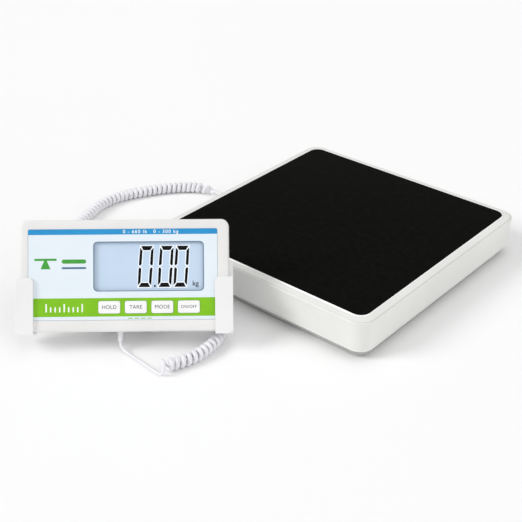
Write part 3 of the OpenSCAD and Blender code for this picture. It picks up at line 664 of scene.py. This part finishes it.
def makePrints():
    z0, z1 = film["top"] - prints["sink"], film["top"] + prints["rise"]

    def printPlate(bm, area, radius):
        return addPlate(bm, *area, radius, z0, z1)

    def put(bm, name, look):
        return putPiece(bm, name, "indicator", look, facePlace)

    x0, y0, x1, y1 = prints["blue"]
    stripe = printPlate(bmesh.new(), (x0, y0 - 4, x1, y1), 1.8)
    cut = bmesh.ops.bisect_plane(stripe, geom=stripe.verts[:] + stripe.edges[:] + stripe.faces[:],
                                 dist=0.0001, plane_co=(0, y0, 0), plane_no=(0, -1, 0), clear_outer=True)
    edges = [item for item in cut["geom_cut"] if isinstance(item, bmesh.types.BMEdge)]
    bmesh.ops.edgeloop_fill(stripe, edges=edges)
    put(stripe, "blueStripe", "blueInk")
    band = put(printPlate(bmesh.new(), prints["green"], 0.3), "greenBand", "greenInk")
    cutAway(band, addFaceOpenings(bmesh.new()), facePlace)
    border = put(addArea(bmesh.new(), window, prints["frame"], z0, z1), "windowBorder", "slateInk")
    cutAway(border, addFaceOpenings(bmesh.new()), facePlace)
    putLettering(prints["rangeText"], "rangeLettering", "indicator", "whiteInk", facePlace,
                 (*prints["rangeAt"], z1 + 0.02), prints["rangeHeight"], prints["rangeWeight"],
                 prints["rangeSpacing"])
    dashes = bmesh.new()
    x, y, width, height = prints["dash"]
    for k in range(4):
        start = x + prints["dashStep"] * k
        printPlate(dashes, (start, y, start + width, y + height), 0.3)
    put(dashes, "smallDashes", "greenInk")
    border = put(addArea(bmesh.new(), film, 0, z0, z1 - 0.02), "filmBorder", "paleInk")
    inset = prints["border"]
    inner = addPlate(bmesh.new(), film["x"][0] + inset, film["y"][0] + inset, film["x"][1] - inset,
                     film["y"][1] - inset, film["radius"], z0 - 1, z1 + 1)
    cutAway(border, inner, facePlace)
    bars = bmesh.new()  # a plain pictogram of a pan on a stand, and two bars
    printPlate(bars, prints["pan"], 1.0)
    addPolygon(bars, prints["stand"], z0, z1 - z0)
    printPlate(bars, prints["bar"], 2.0)
    put(bars, "panPictogram", "darkGreenInk")
    put(printPlate(bmesh.new(), prints["thinBar"], 0.95), "thinBar", "slateInk")
    ticks = bmesh.new()
    x, y, width = prints["tick"]
    tall, short = prints["tickHeights"]
    for k in range(9):  # ruler ticks
        start = x + prints["tickStep"] * k
        height = tall if k % 4 == 0 else short
        addPlate(ticks, start, y, start + width, y + height, 0.6, z1 - 0.02, z1 + 0.03)
    put(ticks, "rulerTicks", "whiteInk")


digits = {"x": (12.9, 33.4, 49.5), "y": 45.6, "width": 14.4, "height": 42.2, "slant": 0.07, "halo": 0.9,
          "depth": -2.75, "lift": 0.06, "thick": 0.04, "point": (30.9, 45.9), "unitAt": (72.6, 48.9),
          "unitHeight": 5.0, "unitWeight": 0.03}


def grown(points, grow):  # the outline moved out all round
    made = []
    for i, (x, y) in enumerate(points):
        before, after = Vector(points[i - 1]), Vector(points[(i + 1) % len(points)])
        one = (Vector((x, y)) - before).normalized()
        two = (after - Vector((x, y))).normalized()
        out = Vector((one.y + two.y, -one.x - two.x))
        out = out / max(out.length_squared / 2, 0.4)
        made.append((x + out.x * grow, y + out.y * grow))
    return made


def digitShapes():
    w, h = digits["width"], digits["height"]
    bar = [(3.7, h - 4.4), (w - 3.7, h - 4.4), (w - 1.2, h), (1.2, h)]
    stroke = [(0.3, h - 1.6), (0.0, h / 2 + 1.9), (1.3, h / 2 + 0.8), (2.9, h / 2 + 2.4), (2.9, h - 4.9)]
    shapes = []
    for flipX in (False, True):
        for flipY in (False, True):
            corners = [((w - x) if flipX else x, (h - y) if flipY else y) for x, y in stroke]
            shapes.append(corners if flipX == flipY else corners[::-1])
    shapes.append(bar)
    shapes.append([(x, h - y) for x, y in bar][::-1])
    return shapes


display = {"grow": 0.8, "back": -5.4, "front": -2.8}


def makeDisplay():
    grow = display["grow"]
    panel = addPlate(bmesh.new(), window["x"][0] - grow, window["y"][0] - grow, window["x"][1] + grow,
                     window["y"][1] + grow, 1, display["back"], display["front"])
    piece = putPiece(panel, "displayPanel", "indicator", "lcd", facePlace, ["display_glass"])
    segments, paintedGlow = bmesh.new(), bmesh.new()
    slant, depth, thick = digits["slant"], digits["depth"], digits["thick"]
    inkDepth = depth + digits["lift"]
    for x in digits["x"]:
        for shape in digitShapes():
            placed = [(x + px + py * slant, digits["y"] + py) for px, py in shape]
            addPolygon(segments, placed, inkDepth, thick)
            # a painted glow: a brighter halo a little wider than each segment
            addPolygon(paintedGlow, grown(placed, digits["halo"]), depth, thick)
    px, py = digits["point"]
    addPlate(segments, px - 0.9, py - 0.2, px + 0.9, py + 1.9, 0.5, inkDepth, inkDepth + thick)
    putPiece(segments, "displaySegments", "indicator", "segment", facePlace)
    putPiece(paintedGlow, "displayPaintedHalo", "indicator", "lcdPaintedHalo", facePlace)
    putLettering("kg", "unitLettering", "indicator", "segment", facePlace, (*digits["unitAt"], inkDepth),
                 digits["unitHeight"], digits["unitWeight"])


def makeKeys():
    halfX, halfY, proud, skirt = keys["width"] / 2, keys["height"] / 2, keys["proud"], keys["skirt"]
    y, radius, skirtTop = keys["y"], keys["radius"], keys["skirtTop"]
    for name, legend, x in zip(keys["names"], keys["legends"], keys["x"]):
        rows = [(halfX + skirt, halfY + skirt, 2, keys["skirtBottom"], x, y),
                (halfX + skirt, halfY + skirt, 2, skirtTop, x, y),
                (halfX, halfY, radius, skirtTop + 0.1, x, y)]
        for inset, drop in keys["crown"]:
            rows.append((halfX - inset, halfY - inset, radius - inset * 0.6, proud - drop, x, y))
        cap, body = addLoft(bmesh.new(), rows, 6), "key_" + name
        piece = putPiece(cap, "keyCap" + name.capitalize(), body, "key", facePlace, [body])
        height = keys["legendHeight"] * (keys["longLegend"] if "/" in legend else 1)
        putLettering(legend, "keyLegend" + name.capitalize(), body, "greyInk", facePlace,
                     (x, y, proud + 0.01), height, spacing=keys["legendSpacing"])


makeHousingFront()
makeFilm()
makePrints()
makeDisplay()
makeKeys()
softenNode("indicator_rear", "housingRear", "housing", 0.8)
softenNode("battery_door", "batteryDoor", "housing", 0.25)
print("indicator made")


# Strain relief and gland: tapered, with slots between soft rings.
sleeve = {"bore": 2.05, "stop": 3.4, "stopLength": 1.4, "ringStep": 2.2, "ring": 1.2,
          "relief": {"length": 10, "neck": 2.8, "wall": 2.2, "root": 2.8, "tip": 2.5, "groove": 0.25},
          "gland": {"length": 21.6, "neck": 2.9, "wall": 2.5, "root": 3.45, "tip": 2.65, "groove": 0.6},
          "reliefAt": (-0.006, 0, -0.01405)}


def makeSleeve(name, node, body, place, shape):
    length, neck, wall = shape["length"], shape["neck"], shape["wall"]
    root, tip, groove = shape["root"], shape["tip"], shape["groove"]
    bore, stop, inside = sleeve["bore"], sleeve["stop"], -wall - sleeve["stopLength"]
    profile = [(bore, inside), (stop, inside), (stop, -wall), (neck, -wall), (neck, 0), (root + 0.3, 0),
               (root + 0.3, 1.3), (root - 0.1, 1.6)]
    step, ring = sleeve["ringStep"], sleeve["ring"]
    for k in range(int((length - 4) / step)):
        z = step + step * k
        r = root + (tip - root) * (z / length)
        profile += [(r, z), (r, z + ring), (r - groove, z + ring + 0.2), (r - groove, z + ring + 0.8)]
    mouth = lead["diameter"] / 2 + 0.05
    profile += [(tip + 0.05, length - 1.2), (tip - 0.1, length), (mouth, length + 0.1), (mouth, length),
                (bore, length), (bore, inside)]
    piece = putPiece(addTurned(bmesh.new(), profile, 28), name, body, "lead", place, [node])


reliefPlace = facePlace @ Matrix.Translation(sleeve["reliefAt"]) @ Matrix.Rotation(math.radians(90), 4, "X")
makeSleeve("strainRelief", "indicator_strain_relief", "indicator", reliefPlace, sleeve["relief"])
glandLow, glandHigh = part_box("platform_gland")
glandAt = (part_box("base_tray")[0].x, (glandLow.y + glandHigh.y) / 2, (glandLow.z + glandHigh.z) / 2)
glandPlace = Matrix.Translation(glandAt) @ Matrix.Rotation(math.radians(-90), 4, "Y")
makeSleeve("platformGland", "platform_gland", "base", glandPlace, sleeve["gland"])

# Cradle and stand.
softenNode("cradle", "deskCradle", "cradle", 0.9)
softenNode("stand_base", "standBase", "cradle", 0.6)
softenNode("stand_pads", "standPads", "rubber", 0.4)
print("cradle made")

# The nodes kept as they are.
keptLooks = {
    "top_frame": "zinc", "cover_screws": "screw", "base_frame": "zinc", "base_screws": "screw",
    "load_cell_front_left": "aluminium", "load_cell_front_right": "aluminium",
    "load_cell_back_left": "aluminium", "load_cell_back_right": "aluminium",
    "cell_spacers": "zinc", "cell_screws": "screw", "load_bumpers": "rubber", "overload_stops": "zinc",
    "junction_board": "board", "board_standoffs": "brass", "cell_leads": "wire", "signal_lead": "lead",
    "foot_screws": "screw", "display_window": "lens", "display_backlight": "lightGuide",
    "main_board": "board", "board_screws": "screw", "key_switches": "nylon", "buzzer": "nylon",
    "battery_cells": "cellWrap", "battery_contacts": "nickel", "dc_inlet": "nylon",
    "housing_screws": "screw", "indicator_lead": "lead", "hinge_pin": "screw",
}
for node, look in keptLooks.items():
    kept = frame["nodes"][node]
    kept.data.materials.clear()
    kept.data.materials.append(looks[look])
print("kept nodes finished:", len(keptLooks))

# Studio.
studio = {"floorSize": 300.0, "world": 0.52,  # towards each lamp, its power, its width in degrees
          "lamps": {"key": ((-0.6, -0.85, 0.72), 1.5, 26), "top": ((0.1, 0.35, 1.0), 0.4, 60),
                    "fill": ((1.0, 0.1, 0.6), 0.72, 60)}}
floorMesh = bmesh.new()
bmesh.ops.create_grid(floorMesh, x_segments=1, y_segments=1, size=studio["floorSize"] / 2)
floorData = bpy.data.meshes.new("studioFloor")
floorMesh.to_mesh(floorData)
floorMesh.free()
floor = putMesh(floorData, "studioFloor", None, "studioFloor")
world = bpy.data.worlds.new("studioWorld")
world.use_nodes = True
background = world.node_tree.nodes["Background"]
background.inputs["Color"].default_value = (1, 1, 1, 1)
background.inputs["Strength"].default_value = studio["world"]
bpy.context.scene.world = world
bpy.context.scene.view_settings.view_transform = "Standard"
for name, (towards, power, width) in studio["lamps"].items():
    lamp = bpy.data.lights.new(name + "Lamp", "SUN")
    lamp.energy = power
    lamp.angle = math.radians(width)
    holder = bpy.data.objects.new(name + "Lamp", lamp)
    bpy.context.scene.collection.objects.link(holder)
    holder.rotation_euler = (-Vector(towards)).to_track_quat("-Z", "Y").to_euler()
print("studio set")
